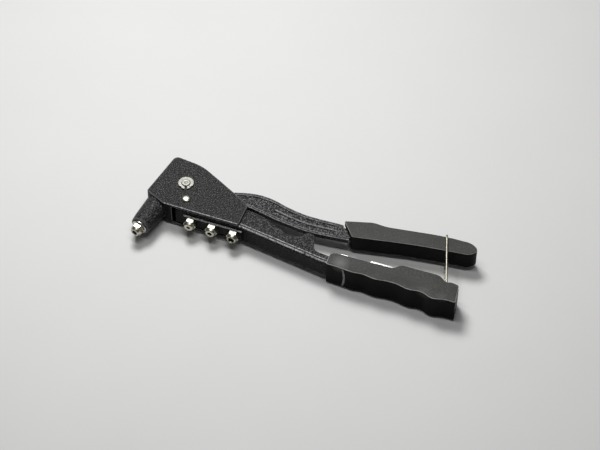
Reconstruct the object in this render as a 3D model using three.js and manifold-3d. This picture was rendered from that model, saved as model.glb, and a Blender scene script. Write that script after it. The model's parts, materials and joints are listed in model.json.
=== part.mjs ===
// Hand riveter for blind rivets, lying on its side: X along the tool, nose towards -Y, +Z its thickness.
// Millimetres. Every piece is drawn around the lever pivot, at the middle of the tool's thickness,
// and the whole tool is then set down with the middle of its underside at the origin.
import * as THREE from "three";
import { mergeVertices } from "three/addons/utils/BufferGeometryUtils.js";
import Module from "manifold-3d";

const wasm = await Module();
wasm.setup();

// Clearances
const GAP = 0.35;
const BIG = 100;

// Facets
const FINE_SIDES = 36;
const INNER_SIDES = 24;
const WIRE_SIDES = 8;

// Head casting
const HEAD_HALF = 11;
const POCKET_HALF = 9.1;
const HEAD_BOTTOM = -24.3;
const HEAD_BACK = 53.2;
const CAST_BEVEL = 0.8;

// Barrel line, measured as s from the nose tip, with the pivot beside it
const BARREL_TILT = THREE.MathUtils.degToRad(10.9);
const NOSE_TIP = new THREE.Vector2(-22.85, -51.5);
const BARREL_START = 7.5;
const BARREL_END = 46;
const CASE_BORE_R = 7.4;
const CASE_BORE_END = 46;
const COLLAR_BORE_R = 9.1;
const COLLAR_BORE_TOP = 70.5;
const EXIT_BORE_R = 2.9;
const BUSH_R = 6.2;
const BUSH_FROM = 6.3;
const BUSH_TO = 15.8;

// Nosepieces
const HEX_FLATS = 9;
const HEX_FROM = 2.4;
const HEX_TO = 6;
const NOSE_R = 4.4;
const THREAD_R = 3.9;
const THREAD_TO = 14.3;
const SPIGOT_R = 2.9;
const SPIGOT_TO = 20.2;
const FITTED_BORE_R = 2;
const SPARES = [
  { x: 14.5, boreR: 1.2 },
  { x: 32.4, boreR: 1.6 },
  { x: 50.2, boreR: 2.4 },
];

// Jaw train
const CASE_R = 6.5;
const CASE_FROM = 24.5;
const CASE_JOINT = 42.5;
const CONE_FROM = 25.5;
const CONE_TO = 36.5;
const CONE_R0 = 3.3;
const CONE_R1 = 5.4;
const COLLAR_R = 8.4;
const COLLAR_FROM = 61.35;
const COLLAR_TO = 64.3;
const COLLAR_FLAT = 7;
const PULL_BORE_R = 3.7;
const JAW_FROM = 27;
const JAW_TO = 35.7;
const JAW_TRAVEL = 1.5;
const MANDREL_R = 1.3;
const PUSHER_TO = 43.5;
const SEAT_FROM = 68.2;
const GUIDE_BORE_R = 1.7;
const GUIDE_FROM = 52;
const GUIDE_TO = 75.5;
const SPRING_R = 3;
const SPRING_WIRE_R = 0.45;
const SPRING_TURNS = 8;

// Lever pivot
const PIN_R = 4;
const PIN_HEAD_R = 6.4;
const CLIP_R = 6;
const CLIP_GROOVE_R = 3;
const CLIP_THICK = 0.9;
const CLIP_MOUTH = THREE.MathUtils.degToRad(-70);
const CLIP_MOUTH_WIDTH = 2;
const CLIP_SCALLOP_R = 1.4;
const CLIP_SCALLOP_TURN = THREE.MathUtils.degToRad(46);
const RIVET_AT = new THREE.Vector2(5.8, -14.2);
const RIVET_R = 2.2;
const RIVET_HEAD_R = 3.6;

// Lever
const ARM_INNER = 6.8;
const ARM_OUTER = 8.6;
const ARM_REACH = 11.5;
const ARM_ANGLE = THREE.MathUtils.degToRad(149.1);
const ARM_BUMP_R = 2.2;
const BOSS_R = 6.5;
const LEVER_BUSH_R = 5.2;
const RIM_HALF = 2.3;
const WEB_HALF = 1.3;
const RIM_WIDE = 2.5;
const RIB_HALF = 0.7;
const TANG_HALF = 2.1;

// Fixed handle, a channel folded from sheet
const CHANNEL_HALF = 8.7;
const SHEET = 1.8;
const STOP_TOP = -11.7;
const STOP_FROM = 109.6;
const STOP_TO = 111.4;
const STRIP_FROM = 8;
const STRIP_TO = 56.5;
const STRIP_HALF = 4.6;
const STRIP_THICK = 1.6;

// Grips
const UPPER_GRIP_HALF = 8.2;
const LOWER_GRIP_HALF = 11.6;

// Wire bail that holds the handles shut
const BAIL_PIVOT = new THREE.Vector2(222.5, -25.3);
const BAIL_LEAN = THREE.MathUtils.degToRad(17);
const BAIL_LONG = 51.4;
const BAIL_HALF = 9.45;
const BAIL_WIRE_R = 0.9;
const BAIL_BEND = 3;
const BAIL_PIN_R = 1.5;
const BAIL_PIN_HALF = 10.95;
const BAIL_PIN_HOLE_HALF = 11.25;
const BAIL_SLOT_PLAY = 0.3;
const BAIL_EYE_R = 2.75;

const LOOKS = {
  paint: { color: 0x3c3c3e, roughness: 0.55, metalness: 0.25 },
  plastic: { color: 0x2b2b2a, roughness: 0.6, metalness: 0 },
  nickel: { color: 0xdedecd, roughness: 0.22, metalness: 1 },
  steel: { color: 0x9a9a97, roughness: 0.38, metalness: 1 },
  dark_steel: { color: 0x4b4a48, roughness: 0.42, metalness: 1 },
};

// ---- making solids ----

// A closed solid from a three.js geometry, with shared corners merged and empty triangles dropped.
function solid(geometry) {
  const bare = geometry.clone();
  bare.deleteAttribute("normal");
  bare.deleteAttribute("uv");
  const merged = mergeVertices(bare, 1e-4);
  const index = merged.index.array;
  const kept = [];
  for (let i = 0; i < index.length; i += 3) {
    const [a, b, c] = [index[i], index[i + 1], index[i + 2]];
    if (a !== b && b !== c && c !== a) {
      kept.push(a, b, c);
    }
  }
  const vertProperties = new Float32Array(merged.attributes.position.array);
  const triVerts = new Uint32Array(kept);
  return new wasm.Manifold(new wasm.Mesh({ numProp: 3, vertProperties, triVerts }));
}

function joined(first, ...others) {
  return others.reduce((sum, other) => sum.add(other), first);
}

function cut(first, ...others) {
  return others.reduce((rest, other) => rest.subtract(other), first);
}

// A named mesh from a solid.
function piece(name, shape, look) {
  const mesh = shape.getMesh();
  const geometry = new THREE.BufferGeometry();
  geometry.setAttribute("position", new THREE.BufferAttribute(new Float32Array(mesh.vertProperties), 3));
  geometry.setIndex(new THREE.BufferAttribute(new Uint32Array(mesh.triVerts), 1));
  geometry.computeVertexNormals();
  const result = new THREE.Mesh(geometry, new THREE.MeshStandardMaterial(LOOKS[look]));
  result.name = name;
  return result;
}

// A flat outline from [x, y, corner radius] points.
function outline(points) {
  const shape = new THREE.Shape();
  points.forEach(([x, y, radius = 0], i) => {
    const here = new THREE.Vector2(x, y);
    const before = new THREE.Vector2(...points.at(i - 1));
    const after = new THREE.Vector2(...points[(i + 1) % points.length]);
    const start = here.clone().add(before.sub(here).setLength(radius));
    const end = here.clone().add(after.sub(here).setLength(radius));
    if (i === 0) {
      shape.moveTo(start.x, start.y);
    } else {
      shape.lineTo(start.x, start.y);
    }
    if (radius > 0) {
      shape.quadraticCurveTo(x, y, end.x, end.y);
    }
  });
  shape.closePath();
  return shape;
}

// An outline between two smooth edges, each a list of [x, y], drawn in by inset.
function strip(upper, lower, inset = 0) {
  const top = new THREE.SplineCurve(upper.map(([x, y]) => new THREE.Vector2(x, y - inset)));
  const low = new THREE.SplineCurve(lower.map(([x, y]) => new THREE.Vector2(x, y + inset)));
  const steps = 3 * (upper.length - 1);
  return new THREE.Shape([...low.getPoints(steps), ...top.getPoints(steps).reverse()]);
}

// A prism of an outline from z0 to z1, with its edges bevelled if asked.
function plate(shape, z0, z1, bevel = 0) {
  const geometry = new THREE.ExtrudeGeometry(shape, {
    depth: z1 - z0 - 2 * bevel,
    curveSegments: 4,
    bevelEnabled: bevel > 0,
    bevelThickness: bevel,
    bevelSize: bevel,
    bevelOffset: -bevel,
    bevelSegments: 2,
  });
  return solid(geometry.translate(0, 0, z0 + bevel));
}

function box(x0, x1, y0, y1, z0, z1) {
  const geometry = new THREE.BoxGeometry(x1 - x0, y1 - y0, z1 - z0);
  return solid(geometry.translate((x0 + x1) / 2, (y0 + y1) / 2, (z0 + z1) / 2));
}

// A round rod along Z.
function rod(x, y, radius, z0, z1, sides = INNER_SIDES) {
  const geometry = new THREE.CylinderGeometry(radius, radius, z1 - z0, sides).rotateX(Math.PI / 2);
  return solid(geometry.translate(x, y, (z0 + z1) / 2));
}

// A turned geometry about Y from [radius, y] points taken from the axis outwards and up.
function turned(profile, sides = INNER_SIDES) {
  return new THREE.LatheGeometry(profile.map(([r, y]) => new THREE.Vector2(r, y)), sides);
}

// A turned ring about Y between two radii.
function ring(inner, outer, from, to, sides = INNER_SIDES) {
  return solid(turned([[inner, from], [outer, from], [outer, to], [inner, to], [inner, from]], sides));
}

function onBarrel(geometry) {
  return geometry.rotateZ(-BARREL_TILT).translate(NOSE_TIP.x, NOSE_TIP.y, 0);
}

// A bore along the barrel line.
function barrelBore(radius, from, to) {
  return solid(onBarrel(turned([[0, from], [radius, from], [radius, to], [0, to]], FINE_SIDES)));
}

// ---- head ----

function headHousing() {
  const cheeks = plate(
    outline([
      [-26.4, -16.5, 1],
      [-18.6, 24.1, 4.5],
      [5.5, 21.6, 8],
      [40, 4, 10],
      [53.6, -3.6, 2.2],
      [HEAD_BACK, HEAD_BOTTOM, 1.5],
      [-9.5, HEAD_BOTTOM, 2],
    ]),
    -HEAD_HALF,
    HEAD_HALF,
    CAST_BEVEL,
  );
  const barrelProfile = [
    [0, BARREL_START],
    [7, BARREL_START],
    [7.9, 8.6],
    [8.6, 14],
    [9.3, 26],
    [9.7, 33],
    [10.3, 40],
    [10.3, BARREL_END],
    [0, BARREL_END],
  ];
  const barrel = solid(onBarrel(turned(barrelProfile, FINE_SIDES)));
  const pocket = plate(
    outline([
      [-9.4, 18.6],
      [6.5, 18.2],
      [9.5, 27],
      [60, 27],
      [60, -30],
      [-1.5, -30],
      [-5, -12],
      [-14.1, -6.2],
    ]),
    -POCKET_HALF,
    POCKET_HALF,
  );
  return cut(
    joined(cheeks, barrel),
    pocket,
    barrelBore(BUSH_R + GAP, 0, BUSH_TO + GAP),
    barrelBore(CASE_BORE_R, BUSH_TO, CASE_BORE_END),
    barrelBore(COLLAR_BORE_R, CASE_BORE_END - 1, COLLAR_BORE_TOP),
    barrelBore(EXIT_BORE_R, COLLAR_BORE_TOP - 1, BIG),
    rod(0, 0, PIN_R + GAP, -BIG, BIG, FINE_SIDES),
    rod(RIVET_AT.x, RIVET_AT.y, RIVET_R + GAP, -BIG, BIG),
  );
}

function pivotPin() {
  const clipZ = HEAD_HALF + 0.3;
  const profile = [
    [0, -HEAD_HALF - 1.4],
    [PIN_HEAD_R - 0.5, -HEAD_HALF - 1.4],
    [PIN_HEAD_R, -HEAD_HALF - 0.9],
    [PIN_HEAD_R, -HEAD_HALF - 0.3],
    [PIN_R, -HEAD_HALF - 0.3],
    [PIN_R, clipZ],
    [CLIP_GROOVE_R, clipZ],
    [CLIP_GROOVE_R, clipZ + CLIP_THICK + 0.3],
    [PIN_R - 0.4, clipZ + CLIP_THICK + 0.3],
    [PIN_R - 0.9, clipZ + CLIP_THICK + 0.9],
    [0, clipZ + CLIP_THICK + 0.9],
  ];
  return solid(turned(profile, FINE_SIDES).rotateX(Math.PI / 2));
}

// The E-shaped ring: a disc with a mouth, three inner fingers on the groove and two round reliefs.
function eClip() {
  const z0 = HEAD_HALF + 0.45;
  const z1 = z0 + CLIP_THICK;
  const disc = rod(0, 0, CLIP_R, z0, z1, FINE_SIDES);
  const seat = rod(0, 0, CLIP_GROOVE_R + 0.3, z0 - 1, z1 + 1);
  const opening = new THREE.BoxGeometry(CLIP_R + 2, CLIP_MOUTH_WIDTH, 4);
  const mouth = solid(opening.translate(CLIP_R / 2 + 1, 0, z0).rotateZ(CLIP_MOUTH));
  const scallops = [-1, 1].map((side) => {
    const angle = CLIP_MOUTH + side * CLIP_SCALLOP_TURN;
    const reach = CLIP_R + 0.5 * CLIP_SCALLOP_R;
    return rod(reach * Math.cos(angle), reach * Math.sin(angle), CLIP_SCALLOP_R, z0 - 1, z1 + 1);
  });
  return cut(disc, seat, mouth, ...scallops);
}

function handleRivet() {
  const rest = HEAD_HALF + 0.3;
  const profile = [
    [0, -rest - 1.3],
    [2.2, -rest - 1],
    [RIVET_HEAD_R, -rest],
    [RIVET_R, -rest],
    [RIVET_R, rest],
    [RIVET_HEAD_R, rest],
    [RIVET_HEAD_R - 0.4, rest + 0.7],
    [2.2, rest + 1.5],
    [0, rest + 1.8],
  ];
  return solid(turned(profile, INNER_SIDES).rotateX(Math.PI / 2).translate(RIVET_AT.x, RIVET_AT.y, 0));
}

// ---- barrel line, drawn with s along Y ----

function nosepiece(boreR) {
  const hexagonR = HEX_FLATS / Math.sqrt(3);
  const hexagon = new THREE.CylinderGeometry(hexagonR, hexagonR, HEX_TO - HEX_FROM, 6);
  const tipProfile = [
    [0, 0],
    [3.4, 0],
    [3.8, 0.4],
    [NOSE_R, HEX_FROM],
    [NOSE_R, HEX_TO],
    [0, HEX_TO],
  ];
  const tip = turned(tipProfile, FINE_SIDES);
  const shank = turned([
    [0, HEX_TO - 1],
    [THREAD_R, HEX_TO - 1],
    [THREAD_R, THREAD_TO],
    [SPIGOT_R, THREAD_TO + 1],
    [SPIGOT_R, SPIGOT_TO],
    [0, SPIGOT_TO],
  ]);
  const bore = turned([[0, -1], [boreR, -1], [boreR, SPIGOT_TO + 1], [0, SPIGOT_TO + 1]]);
  return cut(
    joined(solid(hexagon.translate(0, (HEX_FROM + HEX_TO) / 2, 0)), solid(tip), solid(shank)),
    solid(bore),
  );
}

function jawCase() {
  const profile = [
    [CONE_R0, CASE_FROM],
    [5.4, CASE_FROM],
    [CASE_R, CASE_FROM + 1.5],
    [CASE_R, CASE_JOINT - GAP],
    [CONE_R1, CASE_JOINT - GAP],
    [CONE_R1, CONE_TO],
    [CONE_R0, CONE_FROM],
    [CONE_R0, CASE_FROM],
  ];
  return solid(turned(profile));
}

// The tube that screws into the jaw case and carries the collar that the lever lifts.
function pullTube() {
  const from = JAW_TO + JAW_TRAVEL + 2 * GAP;
  const profile = [
    [PULL_BORE_R, from],
    [CONE_R1 - GAP, from],
    [CONE_R1 - GAP, CASE_JOINT],
    [CASE_R, CASE_JOINT],
    [CASE_R, COLLAR_FROM],
    [COLLAR_R, COLLAR_FROM],
    [COLLAR_R, COLLAR_TO],
    [PULL_BORE_R, COLLAR_TO],
    [PULL_BORE_R, from],
  ];
  const flats = box(-COLLAR_FLAT, COLLAR_FLAT, 0, BIG, -BIG, BIG);
  return solid(turned(profile, FINE_SIDES)).intersect(flats);
}

function jaw(side) {
  const slope = (CONE_R1 - CONE_R0) / (CONE_TO - CONE_FROM);
  const radiusAt = (s) => CONE_R0 + slope * (s - CONE_FROM) - GAP;
  const cone = turned([
    [0, JAW_FROM],
    [radiusAt(JAW_FROM), JAW_FROM],
    [radiusAt(JAW_TO), JAW_TO],
    [0, JAW_TO],
  ]);
  const bore = turned([[0, 0], [MANDREL_R, 0], [MANDREL_R, BIG], [0, BIG]]);
  const near = 0.2;
  const half = side > 0 ? box(near, BIG, 0, BIG, -BIG, BIG) : box(-BIG, -near, 0, BIG, -BIG, BIG);
  return cut(solid(cone).intersect(half), solid(bore));
}

function jawPusher() {
  const from = JAW_TO + 0.4;
  const profile = [
    [MANDREL_R + 0.3, from],
    [2.4, from],
    [3.3, from + 1.2],
    [3.3, PUSHER_TO],
    [MANDREL_R + 0.3, PUSHER_TO],
    [MANDREL_R + 0.3, from],
  ];
  return solid(turned(profile));
}

// The flanged tube that backs the jaw spring and leads spent mandrels out of the head.
function mandrelGuide() {
  const flangeTo = COLLAR_BORE_TOP - GAP;
  const profile = [
    [GUIDE_BORE_R, GUIDE_FROM],
    [2.3, GUIDE_FROM],
    [2.3, SEAT_FROM],
    [6, SEAT_FROM],
    [6, flangeTo],
    [2.5, flangeTo],
    [2.5, GUIDE_TO],
    [GUIDE_BORE_R, GUIDE_TO],
    [GUIDE_BORE_R, GUIDE_FROM],
  ];
  return solid(turned(profile));
}

class Helix extends THREE.Curve {
  constructor(radius, from, to, turns) {
    super();
    Object.assign(this, { radius, from, to, turns });
  }

  getPoint(t, target = new THREE.Vector3()) {
    const angle = 2 * Math.PI * this.turns * t;
    const y = this.from + (this.to - this.from) * t;
    return target.set(this.radius * Math.cos(angle), y, this.radius * Math.sin(angle));
  }
}

// A round wire along a path.
function wire(path, radius, steps, sides) {
  const section = new THREE.Shape();
  section.absarc(0, 0, radius, 0, 2 * Math.PI);
  return new THREE.ExtrudeGeometry(section, { extrudePath: path, steps, curveSegments: sides / 2 });
}

function jawSpring() {
  const from = PUSHER_TO + GAP + SPRING_WIRE_R;
  const to = SEAT_FROM - GAP - SPRING_WIRE_R;
  return solid(wire(new Helix(SPRING_R, from, to, SPRING_TURNS), SPRING_WIRE_R, SPRING_TURNS * 12, 6));
}

// ---- lever ----

const BAR_TOP = [
  [24, 7.6],
  [37.6, 12.2],
  [47.8, 15.1],
  [57.6, 16.2],
  [68.8, 15.2],
  [82.7, 11.7],
  [100.2, 9.5],
  [127.6, 10.4],
];
const BAR_LOW = [
  [24, -7],
  [37, -1],
  [49.8, 1.6],
  [63.9, -0.6],
  [76, -2.9],
  [88.7, -4.3],
  [105.7, -5.5],
  [137, -2.6],
];
const TANG = [
  [122, 7],
  [152, 11],
  [218, 20.6, 1],
  [222, 16, 1],
  [152, 3.6],
  [126, -2],
];

function leverFork() {
  const full = (shape) => plate(shape, -ARM_OUTER, ARM_OUTER);
  const armBar = new THREE.BoxGeometry(ARM_REACH, 4.5, 2 * ARM_OUTER);
  const arm = solid(armBar.translate(ARM_REACH / 2, 1.75, 0).rotateZ(ARM_ANGLE));
  const bumpX = ARM_REACH * Math.cos(ARM_ANGLE);
  const bumpY = ARM_REACH * Math.sin(ARM_ANGLE);
  const between = box(-BIG, 8.6, -BIG, BIG, -ARM_INNER, ARM_INNER);
  return cut(
    joined(
      full(outline([[0, -BOSS_R], [26, -7.6, 2], [26, 8.2, 2], [0, BOSS_R]])),
      rod(0, 0, BOSS_R, -ARM_OUTER, ARM_OUTER, FINE_SIDES),
      rod(bumpX, bumpY, ARM_BUMP_R, -ARM_OUTER, ARM_OUTER),
      arm,
    ),
    between,
    rod(0, 0, PIN_R + GAP, -BIG, BIG, FINE_SIDES),
  );
}

function leverArm() {
  const bar = plate(strip(BAR_TOP, BAR_LOW), -RIM_HALF, RIM_HALF);
  const middle = BAR_TOP.map(([x, y], i) => [(x + BAR_LOW[i][0]) / 2, (y + BAR_LOW[i][1]) / 2]);
  const panels = [
    strip(BAR_TOP.slice(2, 5), BAR_LOW.slice(2, 5), RIM_WIDE),
    strip(BAR_TOP.slice(3), middle.slice(3).map(([x, y]) => [x, y - RIM_WIDE + RIB_HALF]), RIM_WIDE),
    strip(middle.slice(3).map(([x, y]) => [x, y + RIM_WIDE - RIB_HALF]), BAR_LOW.slice(3), RIM_WIDE),
  ];
  const sunk = panels.flatMap((shape) => [plate(shape, WEB_HALF, BIG), plate(shape, -BIG, -WEB_HALF)]);
  const tang = plate(outline(TANG), -TANG_HALF, TANG_HALF);
  return joined(cut(bar, ...sunk), leverFork(), tang);
}

// ---- fixed handle ----

const CHANNEL = [
  [0.6, HEAD_BOTTOM],
  [54.9, HEAD_BOTTOM, 3],
  [126, -34.4, 6],
  [150, -34.9, 4],
  [210, -34.6, 2],
  [210, -27, 2],
  [181, -27, 1],
  [178, -19.4, 1],
  [161, -19.7, 1],
  [159, -28, 1],
  [144.4, -28, 1],
  [143, -21.5, 0.6],
  [137, -21.8, 0.6],
  [135.6, -28, 1],
  [118, -26.4, 2],
  [114.6, -23.3, 3],
  [112.4, -12.4, 2],
  [107, -10.6, 3],
  [99, -18.4, 4],
  [94, -19.2, 4],
  [82.7, -14.8, 6],
  [67, -8.4, 6],
  [46, -5, 4],
  [28, -11.4, 4],
  [0.6, -11.4, 2],
];

function lowerHandle() {
  const sides = plate(outline(CHANNEL), -CHANNEL_HALF, CHANNEL_HALF);
  const inside = plate(
    outline([
      [-2, HEAD_BOTTOM + SHEET],
      [54.7, HEAD_BOTTOM + SHEET, 3],
      [125.8, -32.6, 6],
      [150, -33.1, 4],
      [214, -32.8],
      [214, 0],
      [-2, 0],
    ]),
    SHEET - CHANNEL_HALF,
    CHANNEL_HALF - SHEET,
  );
  const stop = box(STOP_FROM, STOP_TO, -31.5, STOP_TOP, -CHANNEL_HALF + 0.2, CHANNEL_HALF - 0.2);
  const threads = SPARES.map(({ x }) => upright(x, THREAD_R + GAP));
  return cut(
    joined(cut(sides, inside), stop),
    ...threads,
    rod(RIVET_AT.x, RIVET_AT.y, RIVET_R + GAP, -BIG, BIG),
  );
}

// A hole through the channel's web along Y.
function upright(x, radius) {
  return solid(new THREE.CylinderGeometry(radius, radius, 20, INNER_SIDES).translate(x, HEAD_BOTTOM, 0));
}

// The strip on the channel's web that the spare nosepieces screw into.
function spareStrip() {
  const top = HEAD_BOTTOM - GAP;
  const flat = box(STRIP_FROM, STRIP_TO, top - STRIP_THICK, top, -STRIP_HALF, STRIP_HALF);
  return cut(flat, ...SPARES.map(({ x }) => upright(x, THREAD_R + GAP)));
}

// ---- grips ----

function upperGrip() {
  const body = plate(
    outline([
      [128.6, 9.9, 1],
      [139.2, -3, 1],
      [190, 6.8, 18],
      [230, 11.2, 4],
      [235.4, 17.6, 4.2],
      [228.5, 23, 4.4],
      [206, 22.4, 12],
      [160, 15.4, 5],
      [151, 16.4, 3.5],
    ]),
    -UPPER_GRIP_HALF,
    UPPER_GRIP_HALF,
  );
  const slot = plate(
    outline([
      [118, 9],
      [151.6, 11.6],
      [218.6, 21.2, 1],
      [223, 15.8, 1],
      [152.4, 2.9],
      [118, -4],
    ]),
    -TANG_HALF - GAP,
    TANG_HALF + GAP,
  );
  return cut(body, slot);
}

const FINGER_EDGE = [
  [233.6, -38.4, 1.5],
  [225.5, -38.2, 4],
  [215.3, -41, 4],
  [206, -37, 4],
  [196.3, -39, 4],
  [187, -36.9, 3],
  [180, -36.7, 3],
  [169, -38.4, 4],
  [159.3, -36.7, 3.5],
  [152, -38, 3.5],
  [138, -36.9, 4],
  [129.7, -36.9, 1.5],
];

function lowerGrip() {
  const body = plate(
    outline([
      ...FINGER_EDGE,
      [129.5, -26.4, 1.6],
      [133, -24.4, 1.6],
      [159.3, -23.8, 2],
      [179.5, -23, 2],
      [184, -18, 3],
      [215, -17.4, 3],
      [221.4, -22, 1.2],
      [225, -20.7, 1.2],
      [231.5, -21.6, 2],
    ]),
    -LOWER_GRIP_HALF,
    LOWER_GRIP_HALF,
  );
  const hollow = plate(
    outline([
      [120, -34.2],
      [150, -35.3, 4],
      [210.4, -35, 2],
      [210.4, -26.6, 2],
      [181.3, -26.6, 1],
      [178.4, -19, 1],
      [160.6, -19.3, 1],
      [158.7, -27.6, 1],
      [144.8, -27.6, 1],
      [143.4, -21.1, 0.6],
      [136.6, -21.4, 0.6],
      [135.2, -27.6, 1],
      [120, -26],
    ]),
    -CHANNEL_HALF - GAP,
    CHANNEL_HALF + GAP,
  );
  const slots = [-1, 1].map((side) => {
    const near = side * (BAIL_HALF - BAIL_WIRE_R - BAIL_SLOT_PLAY);
    const far = side * (BAIL_HALF + BAIL_WIRE_R + BAIL_SLOT_PLAY);
    return box(218.5, 240, -29.4, 0, Math.min(near, far), Math.max(near, far));
  });
  const pinHole = rod(
    BAIL_PIVOT.x,
    BAIL_PIVOT.y,
    BAIL_PIN_R + GAP,
    -BAIL_PIN_HOLE_HALF,
    BAIL_PIN_HOLE_HALF,
  );
  return cut(body, hollow, ...slots, pinHole);
}

// ---- wire bail, drawn around its own pivot with its legs along Y ----

function wireBail() {
  const at = (y, z) => new THREE.Vector3(0, y, z);
  const path = new THREE.CurvePath();
  path.add(new THREE.LineCurve3(at(BAIL_EYE_R, BAIL_HALF), at(BAIL_LONG - BAIL_BEND, BAIL_HALF)));
  path.add(new THREE.QuadraticBezierCurve3(
    at(BAIL_LONG - BAIL_BEND, BAIL_HALF),
    at(BAIL_LONG, BAIL_HALF),
    at(BAIL_LONG, BAIL_HALF - BAIL_BEND),
  ));
  path.add(new THREE.LineCurve3(
    at(BAIL_LONG, BAIL_HALF - BAIL_BEND),
    at(BAIL_LONG, BAIL_BEND - BAIL_HALF),
  ));
  path.add(new THREE.QuadraticBezierCurve3(
    at(BAIL_LONG, BAIL_BEND - BAIL_HALF),
    at(BAIL_LONG, -BAIL_HALF),
    at(BAIL_LONG - BAIL_BEND, -BAIL_HALF),
  ));
  path.add(new THREE.LineCurve3(at(BAIL_LONG - BAIL_BEND, -BAIL_HALF), at(BAIL_EYE_R, -BAIL_HALF)));
  const eyes = [-1, 1].map((side) => {
    const eye = new THREE.TorusGeometry(BAIL_EYE_R, BAIL_WIRE_R, WIRE_SIDES, 20);
    return solid(eye.translate(0, 0, side * BAIL_HALF));
  });
  return joined(solid(wire(path, BAIL_WIRE_R, 64, WIRE_SIDES)), ...eyes);
}

// ---- the tool ----

const tool = new THREE.Group();
tool.add(
  piece("head_housing", headHousing(), "paint"),
  piece("pivot_pin", pivotPin(), "nickel"),
  piece("pivot_e_clip", eClip(), "nickel"),
  piece("handle_rivet", handleRivet(), "nickel"),
  piece("lower_handle", lowerHandle(), "paint"),
  piece("spare_nosepiece_strip", spareStrip(), "paint"),
  piece("lower_grip", lowerGrip(), "plastic"),
  piece("lever_arm", leverArm(), "paint"),
  piece("upper_grip", upperGrip(), "plastic"),
);

const bushRing = ring(PIN_R + GAP, LEVER_BUSH_R, -ARM_INNER + GAP, ARM_INNER - GAP);
const leverBush = piece("lever_bush", bushRing, "steel");
leverBush.rotation.x = Math.PI / 2;
tool.add(leverBush);

const barrelLine = new THREE.Group();
barrelLine.position.set(NOSE_TIP.x, NOSE_TIP.y, 0);
barrelLine.rotation.z = -BARREL_TILT;
barrelLine.add(
  piece("nosepiece_fitted", nosepiece(FITTED_BORE_R), "nickel"),
  piece("barrel_bush", ring(THREAD_R + GAP, BUSH_R, BUSH_FROM, BUSH_TO, FINE_SIDES), "steel"),
  piece("jaw_case", jawCase(), "dark_steel"),
  piece("pull_tube", pullTube(), "dark_steel"),
  piece("jaw_left", jaw(-1), "dark_steel"),
  piece("jaw_right", jaw(1), "dark_steel"),
  piece("jaw_pusher", jawPusher(), "steel"),
  piece("jaw_spring", jawSpring(), "steel"),
  piece("mandrel_guide", mandrelGuide(), "steel"),
);
tool.add(barrelLine);

SPARES.forEach(({ x, boreR }, i) => {
  const spare = piece(`spare_nosepiece_${i + 1}`, nosepiece(boreR), "nickel");
  spare.position.set(x, HEAD_BOTTOM - STRIP_THICK - 2 * GAP - HEX_TO, 0);
  tool.add(spare);
});

const bail = piece("wire_bail", wireBail(), "nickel");
bail.position.set(BAIL_PIVOT.x, BAIL_PIVOT.y, 0);
bail.rotation.z = BAIL_LEAN;
const bailRod = rod(BAIL_PIVOT.x, BAIL_PIVOT.y, BAIL_PIN_R, -BAIL_PIN_HALF, BAIL_PIN_HALF);
tool.add(bail, piece("bail_pin", bailRod, "nickel"));

const extent = new THREE.Box3().setFromObject(tool, true);
const middle = extent.getCenter(new THREE.Vector3());
tool.position.set(-middle.x, -middle.y, -extent.min.z);

const group = new THREE.Group();
group.add(tool);
export default group;
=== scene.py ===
"""Looks of the hand riveter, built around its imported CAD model. Metres, +Z up."""

import json
import math

import bmesh
import bpy
from mathutils import Matrix, Vector


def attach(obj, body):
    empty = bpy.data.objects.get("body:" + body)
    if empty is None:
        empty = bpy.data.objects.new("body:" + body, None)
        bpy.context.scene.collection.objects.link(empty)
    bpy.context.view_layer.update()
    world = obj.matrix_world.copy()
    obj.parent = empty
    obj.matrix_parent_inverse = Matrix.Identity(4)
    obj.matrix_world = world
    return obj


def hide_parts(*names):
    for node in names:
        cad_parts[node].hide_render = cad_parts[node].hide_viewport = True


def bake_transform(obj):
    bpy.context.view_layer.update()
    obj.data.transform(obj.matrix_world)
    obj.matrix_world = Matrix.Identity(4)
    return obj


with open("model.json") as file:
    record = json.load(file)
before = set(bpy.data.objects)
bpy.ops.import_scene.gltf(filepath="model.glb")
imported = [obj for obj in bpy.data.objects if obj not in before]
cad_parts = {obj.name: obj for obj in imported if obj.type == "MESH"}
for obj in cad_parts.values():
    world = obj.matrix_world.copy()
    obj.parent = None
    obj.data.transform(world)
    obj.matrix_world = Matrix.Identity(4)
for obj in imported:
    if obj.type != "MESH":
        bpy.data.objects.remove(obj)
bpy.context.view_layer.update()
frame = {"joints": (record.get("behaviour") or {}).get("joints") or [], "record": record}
JOINTS = {joint["name"]: joint for joint in frame["joints"]}

MM = 0.001
PIVOT = Vector(JOINTS["lever_hinge"]["pos_m"])
BAIL_PIVOT = Vector(JOINTS["bail_hinge"]["pos_m"])
NOSE_AXIS = Vector(JOINTS["jaw_train_slide"]["axis"])
BARREL_TILT = math.atan2(-NOSE_AXIS.x, -NOSE_AXIS.y)

# Everything below is in millimetres around the lever pivot, at the middle of the tool's thickness.
NOSE_TIP = (-22.85, -51.5)
BIG = 100
ROUND_SIDES = 72
HEAD_HALF = 11
POCKET_HALF = 9.1
HEAD_BOTTOM = -24.3
RIVET_AT = (5.8, -14.2)
CLIP_R = 6
CLIP_THICK = 0.9
CLIP_MOUTH_TURN = math.radians(-70)
CLIP_EAR_TURN = math.radians(46)
PIVOT_BORE_R = 4.35
RIVET_BORE_R = 2.55
SPARE_BORE_R = 4.25
MANDREL_EXIT_R = 2.9
HEX_ACROSS_FLATS = 9
THREAD_R = 3.9
THREAD_ROOT_R = 3.5
THREAD_PITCH = 0.95
THREAD_TURNS = 8
STRIP_THICK = 1.6
SPRING_START = 44.3
SPRING_END = 67.4
SPRING_R = 3
SPRING_WIRE_R = 0.45
SPRING_TURNS = 8
TOOTH_PITCH = 0.45
ARM_INNER = 6.8
ARM_OUTER = 8.6
ARM_REACH = 11.5
ARM_ANGLE = math.radians(149.1)
CHANNEL_HALF = 8.7
SHEET = 1.8
SPARES = ((14.5, 1.2), (32.4, 1.6), (50.2, 2.4))
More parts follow.
